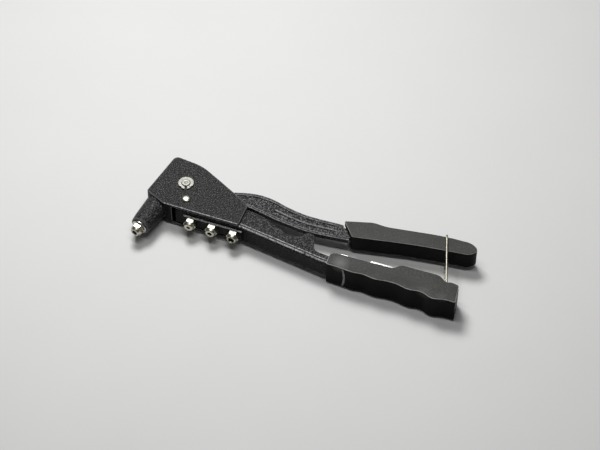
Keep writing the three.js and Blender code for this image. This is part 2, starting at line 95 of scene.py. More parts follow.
UPPER_GRIP_HALF = 8.2
LOWER_GRIP_HALF = 11.6
SPRING_FOLLOWS_FROM = 34.2
BAIL_LEAN = math.radians(17)
BAIL_LONG = 51.36
BAIL_HALF = 9.45
BAIL_WIRE_R = 0.9
BAIL_EYE_R = 2.75
BAIL_BEND_R = 3

HEAD = [
    (-26.4, -16.5, 1), (-18.6, 24.1, 4.5), (5.5, 21.6, 8), (40, 4, 10), (53.6, -3.6, 2.2),
    (53.2, HEAD_BOTTOM, 1.5), (-9.5, HEAD_BOTTOM, 2),
]
POCKET = [(-9.4, 18.6), (6.5, 18.2), (9.5, 27), (60, 27), (60, -30), (-1.5, -30), (-5, -12), (-14.1, -6.2)]
BARREL = [
    (0, 7.5), (6.9, 7.5), (7.5, 7.7), (7.88, 8.3), (8.58, 14), (9.28, 26), (9.68, 33), (10.18, 40),
    (10.18, 46), (0, 46),
]
# Radius, start and end along the barrel: bush seat, jaw case, lifting collar, way out for spent mandrels
BARREL_BORES = [(6.55, 0, 16.2), (7.4, 15.8, 46), (9.1, 45, 70.5), (MANDREL_EXIT_R, 69, BIG)]
CHANNEL_FOLD = [(0.6, HEAD_BOTTOM), (54.9, HEAD_BOTTOM, 3), (126, -34.4, 6), (150, -34.9, 4), (210, -34.6)]
CHANNEL = [
    (0.6, -45), (210, -45), (210, -27, 2), (181, -27, 1), (178, -20.5, 1), (161, -20.7, 1), (159, -28, 1),
    (144.4, -28, 1), (143, -22, 0.6), (137, -22.3, 0.6), (135.6, -28, 1), (118, -26.4, 2), (114.6, -23.3, 3),
    (112.4, -12.4, 2), (107, -10.6, 3), (99, -18.4, 4), (94, -19.2, 4), (82.7, -14.8, 6), (67, -8.4, 6),
    (46, -5, 4), (28, -11.4, 4), (0.6, -11.4, 2),
]
BAR_TOP = [
    (24, 7.6), (37.6, 12.2), (47.8, 15.1), (57.6, 16.2), (68.8, 15.2), (82.7, 11.7), (100.2, 9.5),
    (127.6, 10.4),
]
BAR_LOW = [
    (24, -7), (37, -1), (49.8, 1.6), (63.9, -0.6), (76, -2.9), (88.7, -4.3), (105.7, -5.5), (137, -2.6),
]
TANG = [(122, 7), (152, 11), (218, 20.6, 1), (222, 16, 1), (152, 3.6), (126, -2)]
UPPER_GRIP = [
    (128.6, 9.9, 1), (139.2, -3, 1), (190, 6.8, 18), (230, 11.2, 4), (235.4, 17.6, 4.2), (228.5, 23, 4.4),
    (206, 22.4, 12), (160, 15.4, 5), (151, 16.4, 3.5),
]
UPPER_SLOT = [(118, 9), (151.6, 11.6), (218.6, 21.2, 1), (223, 15.8, 1), (152.4, 2.9), (118, -4)]
FINGER_EDGE = [
    (233.6, -38.4, 1.5), (225.5, -38.2, 4), (215.3, -41, 4), (206, -37, 4), (196.3, -39, 4), (187, -36.9, 3),
    (180, -36.7, 3), (169, -38.4, 4), (159.3, -36.7, 3.5), (152, -38, 3.5), (138, -36.9, 4),
    (129.7, -36.9, 1.5),
]
GRIP_BACK = [
    (129.5, -26.4, 1.6), (133, -24.4, 1.6), (159.3, -23.8, 2), (179.5, -23, 2), (184, -18, 3),
    (215, -17.4, 3), (221.4, -22, 1.2), (225, -20.7, 1.2), (231.5, -21.6, 2),
]
GRIP_HOLLOW = [
    (120, -34.2), (150, -35.3, 4), (210.4, -35, 2), (210.4, -26.6, 2), (181.3, -26.6, 1), (178.4, -19, 1),
    (160.6, -19.3, 1), (158.7, -27.6, 1), (144.8, -27.6, 1), (143.4, -21.1, 0.6), (136.6, -21.4, 0.6),
    (135.2, -27.6, 1), (120, -26),
]

# Where the camera stands
VIEW_AZIMUTH = 20.2
VIEW_ELEVATION = 51.2
VIEW_DISTANCE = 1.599
VIEW_TARGET = PIVOT + Vector((95.3, 0.24, 0)) * MM
VIEW_LENS = 123


# ---- shapes ----

def rounded(points, steps=8):
    """An outline with each corner's radius taken up by a smooth curve."""
    result = []
    for i, point in enumerate(points):
        here = Vector(point[:2])
        radius = point[2] if len(point) > 2 else 0
        if not radius:
            result.append(here)
            continue
        start = here + (Vector(points[i - 1][:2]) - here).normalized() * radius
        end = here + (Vector(points[(i + 1) % len(points)][:2]) - here).normalized() * radius
        for k in range(steps + 1):
            t = k / steps
            result.append(start * (1 - t) ** 2 + here * 2 * t * (1 - t) + end * t ** 2)
    return result


def spline(points, steps=10):
    """A smooth curve through the points."""
    ends = [points[0]] + list(points) + [points[-1]]
    result = []
    for i in range(1, len(ends) - 2):
        p0, p1, p2, p3 = (Vector(p) for p in ends[i - 1:i + 3])
        for k in range(steps):
            t = k / steps
            result.append(0.5 * (2 * p1 + (p2 - p0) * t + (2 * p0 - 5 * p1 + 4 * p2 - p3) * t ** 2
                                 + (3 * p1 - p0 - 3 * p2 + p3) * t ** 3))
    result.append(Vector(points[-1]))
    return result


def strip(upper, lower, inset=0):
    """The outline between two smooth curves, drawn in by the inset."""
    top = [p - Vector((0, inset)) for p in spline(upper)]
    low = [p + Vector((0, inset)) for p in spline(lower)]
    return low + top[::-1]


def made(bm, name, merge=1e-4):
    """A mesh object in metres from a bmesh drawn in millimetres around the pivot."""
    bmesh.ops.remove_doubles(bm, verts=bm.verts, dist=merge)
    bmesh.ops.recalc_face_normals(bm, faces=bm.faces)
    bm.transform(Matrix.Translation(PIVOT) @ Matrix.Scale(MM, 4))
    mesh = bpy.data.meshes.new(name)
    bm.to_mesh(mesh)
    bm.free()
    obj = bpy.data.objects.new(name, mesh)
    bpy.context.scene.collection.objects.link(obj)
    return obj


def prism_mesh(points, z0, z1):
    """A bmesh of an outline drawn from z0 to z1."""
    bm = bmesh.new()
    low = [bm.verts.new((p[0], p[1], z0)) for p in points]
    high = [bm.verts.new((p[0], p[1], z1)) for p in points]
    bm.faces.new(low)
    bm.faces.new(high)
    for i in range(len(points)):
        bm.faces.new((low[i - 1], low[i], high[i], high[i - 1]))
    return bm


def prism(points, z0, z1, name="tool"):
    """A solid with straight sides along Z."""
    return made(prism_mesh(points, z0, z1), name)


def block(x0, x1, y0, y1, z0, z1):
    """A box between two corners."""
    return prism([(x0, y0), (x1, y0), (x1, y1), (x0, y1)], z0, z1)


def turned(profile, place=Matrix.Identity(4), sides=ROUND_SIDES, name="tool"):
    """A turned solid about local Y from (radius, y) points, closed on the axis or on itself."""
    bm = bmesh.new()
    rings = []
    for radius, y in profile:
        if radius == 0:
            rings.append([bm.verts.new((0, y, 0))])
        else:
            turns = [2 * math.pi * k / sides for k in range(sides)]
            rings.append([bm.verts.new((radius * math.cos(a), y, radius * math.sin(a))) for a in turns])
    closed = profile[0][0] != 0
    pairs = zip(rings, rings[1:] + rings[:1]) if closed else zip(rings, rings[1:])
    for one, two in pairs:
        for k in range(sides):
            nxt = (k + 1) % sides
            if len(one) == 1:
                bm.faces.new((one[0], two[k], two[nxt]))
            elif len(two) == 1:
                bm.faces.new((one[k], one[nxt], two[0]))
            else:
                bm.faces.new((one[k], one[nxt], two[nxt], two[k]))
    bm.transform(place)
    return made(bm, name)


def tube(path, radius, name, sides=16, place=Matrix.Identity(4)):
    """A round wire with closed ends along a list of points."""
    bm = bmesh.new()
    rings = []
    normal = None
    for i, point in enumerate(path):
        ahead = (path[min(i + 1, len(path) - 1)] - path[max(i - 1, 0)]).normalized()
        normal = ahead.orthogonal() if normal is None else normal - ahead * normal.dot(ahead)
        normal.normalize()
        side = ahead.cross(normal)
        ring = []
        for k in range(sides):
            turn = 2 * math.pi * k / sides
            ring.append(bm.verts.new(point + radius * (normal * math.cos(turn) + side * math.sin(turn))))
        rings.append(ring)
    for one, two in zip(rings, rings[1:]):
        for k in range(sides):
            bm.faces.new((one[k], one[(k + 1) % sides], two[(k + 1) % sides], two[k]))
    bm.faces.new(rings[0])
    bm.faces.new(rings[-1])
    bm.transform(place)
    return made(bm, name)


def barrel_place():
    """Stands local Y along the barrel, from the nosepiece's tip."""
    return Matrix.Translation((*NOSE_TIP, 0)) @ Matrix.Rotation(-BARREL_TILT, 4, "Z")


def across(x, y):
    """Stands a turned solid's axis along Z at x, y."""
    return Matrix.Translation((x, y, 0)) @ Matrix.Rotation(math.pi / 2, 4, "X")


def bore(radius, start, end, place):
    """A round bar along the placed Y axis, to cut a hole or to add a disc."""
    return turned([(0, start), (radius, start), (radius, end), (0, end)], place)


# ---- mesh work ----

def settle(obj):
    """Writes the modifiers into the mesh."""
    graph = bpy.context.evaluated_depsgraph_get()
    mesh = bpy.data.meshes.new_from_object(obj.evaluated_get(graph))
    obj.modifiers.clear()
    obj.data = mesh
    return obj


def combine(base, others, operation):
    """Runs a boolean of the base with each of the others, which are used up."""
    for other in others:
        step = base.modifiers.new("combine", "BOOLEAN")
        step.operation = operation
        step.solver = "MANIFOLD"
        step.object = other
        settle(base)
        bpy.data.objects.remove(other)
    return base


def join(base, *others):
    """The base with the others melted into it."""
    return combine(base, others, "UNION")


def cut(base, *others):
    """The base with the others taken out of it."""
    return combine(base, others, "DIFFERENCE")


def cast(obj, voxel=0.4, smoothing=5):
    """Gives a solid the soft edges and blended corners of a casting."""
    step = obj.modifiers.new("remesh", "REMESH")
    step.mode = "VOXEL"
    step.voxel_size = voxel * MM
    soft = obj.modifiers.new("soften", "SMOOTH")
    soft.iterations = smoothing
    soft.factor = 0.5
    settle(obj)
    for polygon in obj.data.polygons:
        polygon.use_smooth = True
    return obj


def machined(obj, width=0.15, segments=2, angle=32):
    """Breaks sharp edges with a small bevel and keeps the flat faces shaded flat."""
    for polygon in obj.data.polygons:
        polygon.use_smooth = True
    step = obj.modifiers.new("bevel", "BEVEL")
    step.width = width * MM
    step.segments = segments
    step.limit_method = "ANGLE"
    step.angle_limit = math.radians(angle)
    shade = obj.modifiers.new("shade", "WEIGHTED_NORMAL")
    shade.weight = 100
    return obj


# ---- materials ----

class Nodes:
    """A material's node tree with short calls to add and link nodes."""

    def __init__(self, name):
        self.material = bpy.data.materials.new(name)
        self.material.use_nodes = True
        self.tree = self.material.node_tree
        self.shader = self.tree.nodes["Principled BSDF"]
        coords = self.tree.nodes.new("ShaderNodeTexCoord")
        self.place = coords.outputs["Object"]

    def node(self, kind, links=None):
        """Adds a node, with its input sockets linked to the given outputs."""
        added = self.tree.nodes.new(kind)
        for socket, source in (links or {}).items():
            self.tree.links.new(source, added.inputs[socket])
        return added

    def noise(self, per_mm, detail=3, roughness=0.6):
        """Cloudy noise with so many features to a millimetre."""
        texture = self.node("ShaderNodeTexNoise", {"Vector": self.place})
        texture.inputs["Scale"].default_value = per_mm / MM
        texture.inputs["Detail"].default_value = detail
        texture.inputs["Roughness"].default_value = roughness
        return texture.outputs["Fac"]

    def cells(self, per_mm, smooth=0.6):
        """Rounded cells with so many to a millimetre."""
        texture = self.node("ShaderNodeTexVoronoi", {"Vector": self.place})
        texture.feature = "SMOOTH_F1"
        texture.inputs["Scale"].default_value = per_mm / MM
        texture.inputs["Smoothness"].default_value = smooth
        return texture.outputs["Distance"]

    def range(self, source, low, high, start=0, end=1):
        """Takes start to low and end to high, clamped."""
        mapped = self.node("ShaderNodeMapRange", {"Value": source})
        for socket, value in (("From Min", start), ("From Max", end), ("To Min", low), ("To Max", high)):
            mapped.inputs[socket].default_value = value
        return mapped.outputs["Result"]

    def mix(self, factor, one, two):
        """One colour at 0, two at 1."""
        mixer = self.node("ShaderNodeMix")
        mixer.data_type = "RGBA"
        self.tree.links.new(factor, mixer.inputs["Factor"])
        for name, source in (("A", one), ("B", two)):
            socket = [s for s in mixer.inputs if s.name == name and s.type == "RGBA"][0]
            if isinstance(source, tuple):
                socket.default_value = (*source, 1)
            else:
                self.tree.links.new(source, socket)
        return [s for s in mixer.outputs if s.type == "RGBA"][0]

    def math(self, operation, one, two):
        """One arithmetic step on sockets or numbers."""
        step = self.node("ShaderNodeMath")
        step.operation = operation
        for socket, source in zip(step.inputs, (one, two)):
            if isinstance(source, (int, float)):
                socket.default_value = source
            else:
                self.tree.links.new(source, socket)
        return step.outputs["Value"]

    def bump(self, height, depth_mm, strength=1.0, below=None):
        """Relief from a height, on top of the bump below."""
        bump = self.node("ShaderNodeBump", {"Height": height})
        bump.inputs["Distance"].default_value = depth_mm * MM
        bump.inputs["Strength"].default_value = strength
        if below is not None:
            self.tree.links.new(below, bump.inputs["Normal"])
        return bump.outputs["Normal"]

    def edges(self):
        """High on sharp convex edges."""
        geometry = self.node("ShaderNodeNewGeometry")
        return self.range(geometry.outputs["Pointiness"], 0, 1, 0.502, 0.54)

    def broadside(self):
        """1 on the tool's two broad sides, 0 on the edges around it."""
        geometry = self.node("ShaderNodeNewGeometry")
        facing = self.node("ShaderNodeSeparateXYZ", {"Vector": geometry.outputs["Normal"]})
        return self.math("ABSOLUTE", facing.outputs["Z"], 0)

    def out(self, socket, source):
        """Feeds the material's shader."""
        if isinstance(source, (int, float)):
            self.shader.inputs[socket].default_value = source
        else:
            self.tree.links.new(source, self.shader.inputs[socket])


def hammered_paint(name, grain, depth, dark, light, fleck_and_glint, roughness, edge_wear_and_highlight):
    """Charcoal hammered paint: rounded pebbles; light flecks that are partly metal flake and partly painted
    glints; painted shade on the narrow faces around the broad sides; edges lightened partly by wear and
    partly as a painted highlight.
    """
    m = Nodes(name)
    pebbles = m.cells(grain)
    fine = m.noise(grain * 1.7, 3)
    # Light flecks in the colour: partly metal flake, partly painted glints in place of reflected sparkle
    flecks_and_glints = m.range(m.noise(grain * 1.1, 2, 0.7), 0, 1, 0.5, 0.66)
    cloud = m.noise(0.05, 3)
    body = m.mix(m.range(pebbles, 0, 1, 0.15, 0.75), light, dark)
    body = m.mix(flecks_and_glints, body, fleck_and_glint)
    body = m.mix(m.range(cloud, 0, 0.4), body, tuple(c * 0.6 for c in dark))
    # Painted shade: the narrow faces around the tool's broad sides are darkened
    body = m.mix(m.range(m.broadside(), 0.75, 0, 0.05, 0.6), body, tuple(c * 0.4 for c in dark))
    # Sharp edges lightened to grey: partly worn paint, partly a painted highlight where edges catch light
    if edge_wear_and_highlight:
        rubbed_and_highlit_edge = m.math("MULTIPLY", m.edges(), m.range(m.noise(0.4, 4), edge_wear_and_highlight * 0.3, edge_wear_and_highlight * 1.4, 0.3, 0.7))
        body = m.mix(rubbed_and_highlit_edge, body, (0.42, 0.42, 0.42))
    m.out("Base Color", body)
    m.out("Roughness", m.range(fine, roughness - 0.08, roughness + 0.12))
    m.out("Specular IOR Level", 0.1)
    low = m.bump(m.range(pebbles, 1, 0), depth, 1)
    m.out("Normal", m.bump(fine, depth * 0.5, 0.8, low))
    return m.material


def moulded_plastic(name, side, dark, light):
    """Satin plastic with a fine spark grain, painted shade on its narrow sides, a painted highlight along its
    rounded edges and three painted sheen patches on the top.
    """
    m = Nodes(name)
    grain = m.noise(2.4, 3, 0.7)
    cloud = m.noise(0.045, 4)
    fine = m.range(m.noise(1.1, 2, 0.7), 0, 0.7, 0.35, 0.65)
    speck = m.math("ADD", fine, m.range(cloud, 0, 0.3, 0.35, 0.7))
    body = m.mix(speck, dark, light)
    # Painted shade: the narrow sides take the much darker side colour
    body = m.mix(m.range(m.broadside(), 0, 1, 0.1, 0.8), side, body)
    # Painted sheen: three soft light patches on the grip's top face
    for x, y, reach, painted_sheen_strength in ((140, -32.5, 8, 0.55), (208, -37, 7, 0.2), (222, -36.5, 5, 0.2)):
        spot = m.node("ShaderNodeVectorMath", {0: m.place})
        spot.operation = "DISTANCE"
        spot.inputs[1].default_value = PIVOT + Vector((x, y, LOWER_GRIP_HALF)) * MM
        body = m.mix(m.range(spot.outputs["Value"], painted_sheen_strength, 0, 0, reach * MM), body, (0.28, 0.28, 0.27))
    # Painted highlight along the rounded edges between the broad sides and the narrow sides, patchy with
    # noise
    facing = m.broadside()
    turning = m.math("MULTIPLY", m.range(facing, 0, 1, 0.35, 0.6), m.range(facing, 1, 0, 0.7, 0.93))
    rubbed_and_highlit_edge = m.math("MULTIPLY", turning, m.range(m.noise(0.12), 0.5, 1, 0.3, 0.7))
    body = m.mix(rubbed_and_highlit_edge, body, (0.75, 0.75, 0.72))
    m.out("Base Color", body)
    m.out("Roughness", m.range(cloud, 0.38, 0.48, 0.3, 0.7))
    m.out("Specular IOR Level", 0.06)
    m.out("Normal", m.bump(grain, 0.05, 0.5))
    return m.material


def plated(name, color, roughness, stain):
    """Bright plate or bare steel: fine turning marks, smudges and a slightly darker film."""
    m = Nodes(name)
    smudge = m.noise(0.25, 4)
    scratch = m.noise(1.7, 6, 0.75)
    body = m.mix(m.range(smudge, 0, stain, 0.4, 0.75), color, tuple(c * 0.55 for c in color))
    m.out("Base Color", body)
    m.out("Metallic", 1)
    m.out("Roughness", m.range(scratch, roughness * 0.6, roughness * 1.5, 0.3, 0.7))
    m.out("Normal", m.bump(scratch, 0.012, 0.5))
    return m.material


CHARCOAL = ((0.007, 0.007, 0.0073), (0.018, 0.018, 0.0187), (0.19, 0.19, 0.194))
FINISHES = {
    "charcoal_paint": hammered_paint("charcoal_paint", 1.0, 0.35, *CHARCOAL, 0.34, 0.45),
    "charcoal_sheet": hammered_paint("charcoal_sheet", 1.0, 0.35, *CHARCOAL, 0.34, 0),
    # A much lighter copy of the hammered paint, put on edges and folds as a painted highlight
    "painted_edge_highlight": hammered_paint(
        "painted_edge_highlight", 0.8, 0.4, (0.1, 0.1, 0.102), (0.6, 0.6, 0.61), (0.9, 0.9, 0.9), 0.3, 0),
    "lever_paint": hammered_paint(
        "lever_paint", 0.8, 0.5, (0.009, 0.009, 0.0095), (0.03, 0.03, 0.032), (0.34, 0.34, 0.35), 0.28, 0.8),
    "black_plastic": moulded_plastic(
        "black_plastic", (0.003, 0.003, 0.0027), (0.05, 0.05, 0.047), (0.115, 0.115, 0.107)),
    # Light grey copy of the grip plastic for the seam ridge: a painted highlight
    "seam_highlight_plastic": moulded_plastic(
        "seam_highlight_plastic", (0.3, 0.3, 0.29), (0.3, 0.3, 0.29), (0.4, 0.4, 0.39)),
    "nickel_plate": plated("nickel_plate", (0.58, 0.565, 0.47), 0.3, 0.5),
    "clip_plate": plated("clip_plate", (0.3, 0.296, 0.268), 0.5, 0.4),
    "bare_steel": plated("bare_steel", (0.62, 0.61, 0.59), 0.3, 0.6),
    "hardened_steel": plated("hardened_steel", (0.26, 0.25, 0.24), 0.36, 0.7),
}
SLOTS = {part["node"]: part["material_slot"] for part in frame["record"]["subparts"]}
BODIES = {node: body for body, nodes in frame["record"]["behaviour"]["bodies"].items() for node in nodes}


def stands_for(obj, node, finish=None, stretches=None):
    """Names a finished piece, gives it its material and puts it in its CAD node's place."""
    obj.name = node + "_fine"
    obj.data.materials.clear()
    obj.data.materials.append(FINISHES[finish or SLOTS[node]])
    if stretches:
        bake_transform(obj)
    else:
        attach(obj, BODIES[node])
    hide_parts(node)


# ---- head ----

def head_housing():
    """The cast head: two cheeks around a pocket, and the barrel."""
    place = barrel_place()
    cheeks = prism(rounded(HEAD), -HEAD_HALF, HEAD_HALF)
    head = join(cheeks, turned(BARREL, place))
    cut(
        head,
        prism(rounded(POCKET), -POCKET_HALF, POCKET_HALF),
        *[bore(radius, start, end, place) for radius, start, end in BARREL_BORES],
        bore(PIVOT_BORE_R, -BIG, BIG, across(0, 0)),
        bore(RIVET_BORE_R, -BIG, BIG, across(*RIVET_AT)),
    )
    stands_for(cast(head, 0.4, 5), "head_housing")
    # Painted highlight: the cheeks' lower edge gets the lighter paint
    head.data.materials.append(FINISHES["painted_edge_highlight"])
    for polygon in head.data.polygons:
        spot = (polygon.center - PIVOT) / MM
        on_cheek_face = abs(spot.z) > HEAD_HALF - 1 and abs(polygon.normal.z) > 0.25
        if on_cheek_face and spot.y < HEAD_BOTTOM + 0.7:
            polygon.material_index = 1


def pivot_pin():
    """A headed pin with a groove for its retaining ring."""
    top = HEAD_HALF + 2.1
    profile = [
        (0, -12.4), (5.6, -12.4), (6.1, -12.25), (6.4, -11.9), (6.4, -11.3), (4, -11.3), (4, 11.3), (3, 11.3),
        (3, 12.5), (3.6, 12.5), (3.6, top - 0.5), (3.1, top), (1.2, top), (0.9, top - 0.35), (0, top - 0.5),
    ]
    stands_for(machined(turned(profile, across(0, 0)), 0.1), "pivot_pin", "clip_plate")


def e_clip():
    """A flat ring with a narrow mouth between two small ears."""
    low = HEAD_HALF + 0.45
    mouth_turn = Matrix.Rotation(CLIP_MOUTH_TURN, 4, "Z")
    disc = bore(CLIP_R, low, low + CLIP_THICK, Matrix.Rotation(math.pi / 2, 4, "X"))
    mouth = [mouth_turn @ Vector((x, y, 0)) for x, y in ((0, -0.95), (9, -1.1), (9, 1.1), (0, 0.95))]
    tools = [bore(3.3, low - 1, low + 2, across(0, 0)), prism(mouth, low - 1, low + 2)]
    for side in (-1, 1):
        notch = mouth_turn @ Matrix.Rotation(side * CLIP_EAR_TURN, 4, "Z") @ Vector((CLIP_R + 0.7, 0, 0))
        tools.append(bore(1.4, low - 1, low + 2, across(notch.x, notch.y)))
    stands_for(machined(cut(disc, *tools), 0.12), "pivot_e_clip", "clip_plate")


def handle_rivet():
    """The domed rivet that ties the fixed handle to the head."""
    rest = HEAD_HALF + 0.3
    arc = [math.radians(a) for a in range(0, 90, 10)]
    dome = [(3.6 * math.cos(t), rest + 0.25 + 1.2 * math.sin(t)) for t in arc]
    tail = [(3.6 * math.cos(t), -rest - 0.25 - 1.05 * math.sin(t)) for t in arc[::-1]]
    shank = [(3.6, -rest), (2.2, -rest), (2.2, rest), (3.6, rest)]
    profile = [(0, -rest - 1.3)] + tail + shank + dome + [(0, rest + 1.46)]
    stands_for(machined(turned(profile, across(*RIVET_AT)), 0.08), "handle_rivet")


# ---- barrel line ----

def nosepiece(node, bore_r, place):
    """A hexagon with chamfered corners, a turned nose and a threaded shank."""
    hexagon_r = HEX_ACROSS_FLATS / math.sqrt(3)
    hexagon = turned([(0, 2.4), (hexagon_r, 2.4), (hexagon_r, 6), (0, 6)], place, 6)
    chamfer = turned([(0, 1.9), (4.3, 1.9), (5.35, 2.9), (5.35, 5.6), (4.7, 6.2), (0, 6.2)], place)
    combine(hexagon, [chamfer], "INTERSECT")
    nose = [(0, 0), (3.1, 0), (3.35, 0.08), (3.6, 0.35), (4.25, 1.9), (4.35, 2.6), (0, 2.6)]
    thread = [(0, 5), (THREAD_R, 5)]
    for turn in range(THREAD_TURNS):
        start = 6.6 + turn * THREAD_PITCH
        thread += [(THREAD_R, start), (THREAD_ROOT_R, start + 0.45)]
    thread += [(THREAD_R, 14.3), (2.9, 15.2), (2.9, 20.2), (0, 20.2)]
    join(hexagon, turned(nose, place), turned(thread, place))
    mouth = [(0, -1), (bore_r + 0.5, -1), (bore_r + 0.35, 0.01), (bore_r, 0.5), (bore_r, 21), (0, 21)]
    stands_for(machined(cut(hexagon, turned(mouth, place)), 0.12), node)


def barrel_train():
    """What lies on the barrel's axis: the fitted nosepiece, and what pulls the mandrel."""
    place = barrel_place()
    nosepiece("nosepiece_fitted", 2, place)
    profiles = {
        "barrel_bush": [(4.25, 6.6), (4.55, 6.3), (5.9, 6.3), (6.2, 6.6), (6.2, 15.8), (4.25, 15.8)],
        "jaw_case": [
            (3.3, 24.5), (5.4, 24.5), (6.5, 26), (6.5, 30), (6.3, 30.2), (6.3, 31), (6.5, 31.2), (6.5, 42.1),
            (5.4, 42.1), (5.4, 36.5), (3.3, 25.5),
        ],
        "jaw_pusher": [(1.6, 36.1), (2.4, 36.1), (3.3, 37.3), (3.3, 43.2), (3.1, 43.5), (1.6, 43.5)],
        "mandrel_guide": [
            (1.7, 52), (2.3, 52), (2.3, 68.2), (6, 68.2), (6, 70.15), (2.5, 70.15), (2.5, 75.5), (1.7, 75.5),
        ],
    }
    for node, profile in profiles.items():
        stands_for(machined(turned(profile, place), 0.12), node)
    sleeve = [
        (3.7, 37.9), (5.05, 37.9), (5.05, 42.5), (6.5, 42.5), (6.5, 61.35), (8.4, 61.35), (8.4, 64.3),
        (3.7, 64.3),
    ]
    pull = turned(sleeve, place)
    flat = prism_mesh([(-7, 0), (7, 0), (7, BIG), (-7, BIG)], -BIG, BIG)
    flat.transform(place)
    combine(pull, [made(flat, "flat")], "INTERSECT")
    stands_for(machined(pull, 0.12), "pull_tube")
    coil = []
    steps = SPRING_TURNS * 24
    for k in range(steps + 1):
        t = k / steps
        eased = min(max((t - 0.1) / 0.8, 0), 1)
        y = SPRING_START + (SPRING_END - SPRING_START) * (0.04 * t + 0.96 * eased)
        turn = 2 * math.pi * SPRING_TURNS * t
        coil.append(Vector((SPRING_R * math.cos(turn), y, SPRING_R * math.sin(turn))))
    near, far = (PIVOT + place @ Vector((0, y, 0)) * MM for y in (SPRING_FOLLOWS_FROM, SPRING_END))
    spring = tube(coil, SPRING_WIRE_R, "spring", 10, place)
    stands_for(spring, "jaw_spring", stretches=("jaw_train", "frame", near, far))


def jaws():
    """Two half cones with gripping teeth on the mandrel."""
    place = barrel_place()
    for node, side in (("jaw_left", -1), ("jaw_right", 1)):
        cone = turned([(0, 27), (3.236, 27), (4.897, 35.7), (0, 35.7)], place)
        teeth = [(0, 20)]
        for tooth in range(24):
            start = 26 + tooth * TOOTH_PITCH
            teeth += [(1.3, start), (1.55, start + 0.35)]
        teeth += [(1.3, 40), (0, 40)]
        near, far = (0.2, 20) if side > 0 else (-20, -0.2)
        half = prism_mesh([(near, 0), (far, 0), (far, BIG), (near, BIG)], -20, 20)
        half.transform(place)
        combine(cone, [made(half, "half")], "INTERSECT")
        stands_for(machined(cut(cone, turned(teeth, place)), 0.05), node)


def spare_nosepieces():
    """Three spares screwed through a strip under the handle."""
    base = HEAD_BOTTOM - STRIP_THICK - 0.7 - 6
    for i, (x, bore_r) in enumerate(SPARES):
        nosepiece(f"spare_nosepiece_{i + 1}", bore_r, Matrix.Translation((x, base, 0)))
    top = HEAD_BOTTOM - 0.35
    plate = block(8, 56.5, top - STRIP_THICK, top, -4.6, 4.6)
    holes = [bore(SPARE_BORE_R, -40, 0, Matrix.Translation((x, 0, 0))) for x, _ in SPARES]
    stands_for(settle(machined(cut(plate, *holes), 0.5, 3)), "spare_nosepiece_strip", "charcoal_sheet")
    # Painted highlight: the strip's two long edges get the lighter paint
    plate.data.materials.append(FINISHES["painted_edge_highlight"])
    for polygon in plate.data.polygons:
        if abs(polygon.normal.z) > 0.3:
            polygon.material_index = 1


# ---- lever ----

def lever_arm():
    """The moving bar: a rimmed and ribbed bar with a fork at the pivot and a tang in its grip."""
    bar = prism(strip(BAR_TOP, BAR_LOW), -2.3, 2.3)
    middle = [((a[0] + b[0]) / 2, (a[1] + b[1]) / 2) for a, b in zip(BAR_TOP, BAR_LOW)]
    panels = [
        strip(BAR_TOP[1:5], BAR_LOW[1:5], 2.5),
        strip(BAR_TOP[3:], [(x, y - 1.8) for x, y in middle[3:]], 2.5),
        strip([(x, y + 1.8) for x, y in middle[3:]], BAR_LOW[3:], 2.5),
    ]
    sunk = [prism(shape, *span) for shape in panels for span in ((1.3, 6), (-6, -1.3))]
    cut(bar, *sunk)
    boss = bore(6.5, -ARM_OUTER, ARM_OUTER, across(0, 0))
    arm_turn = Matrix.Rotation(ARM_ANGLE, 4, "Z")
    arm = [arm_turn @ Vector((x, y, 0)) for x, y in ((0, -0.5), (ARM_REACH, -0.5), (ARM_REACH, 4), (0, 4))]
    bump = arm_turn @ Vector((ARM_REACH, 0, 0))
    join(
        boss,
        prism(rounded([(0, -6.5), (26, -7.6, 2), (26, 8.2, 2), (0, 6.5)]), -ARM_OUTER, ARM_OUTER),
        prism(arm, -ARM_OUTER, ARM_OUTER),
        bore(2.2, -ARM_OUTER, ARM_OUTER, across(bump.x, bump.y)),
    )
    cut(boss, block(-BIG, 8.6, -BIG, BIG, -ARM_INNER, ARM_INNER), bore(PIVOT_BORE_R, -BIG, BIG, across(0, 0)))
    join(bar, boss, prism(rounded(TANG), -2.1, 2.1))
    stands_for(cast(bar, 0.36, 3), "lever_arm")


def lever_bush():
    """The spacer between the arms of the fork."""
    ends = ARM_INNER - 0.35
    profile = [(PIVOT_BORE_R, -ends), (5.2, -ends), (5.2, ends), (PIVOT_BORE_R, ends)]
    stands_for(machined(turned(profile, across(0, 0)), 0.12), "lever_bush")


# ---- fixed handle ----

def channel_section():
    """The folded sheet's section as (height above the web, z), with a rolled line just above the fold."""
    arc = [math.radians(a) for a in range(0, 91, 15)]
    outer_r, inner_r = 2.4, 0.7
    side = CHANNEL_HALF
    step = 0.28
    outer = [(outer_r * (1 - math.sin(a)), side - step - outer_r * (1 - math.cos(a))) for a in arc]
    inner_side = side - SHEET
    inner = [(SHEET + inner_r * (1 - math.sin(a)), inner_side - inner_r * (1 - math.cos(a))) for a in arc]
    half = [(40, side), (3.5, side), (3, side - step)] + outer
    back = inner[::-1] + [(40, inner_side)]
    mirrored = [(h, -z) for h, z in half][::-1]
    return half + mirrored + [(h, -z) for h, z in back][::-1] + back


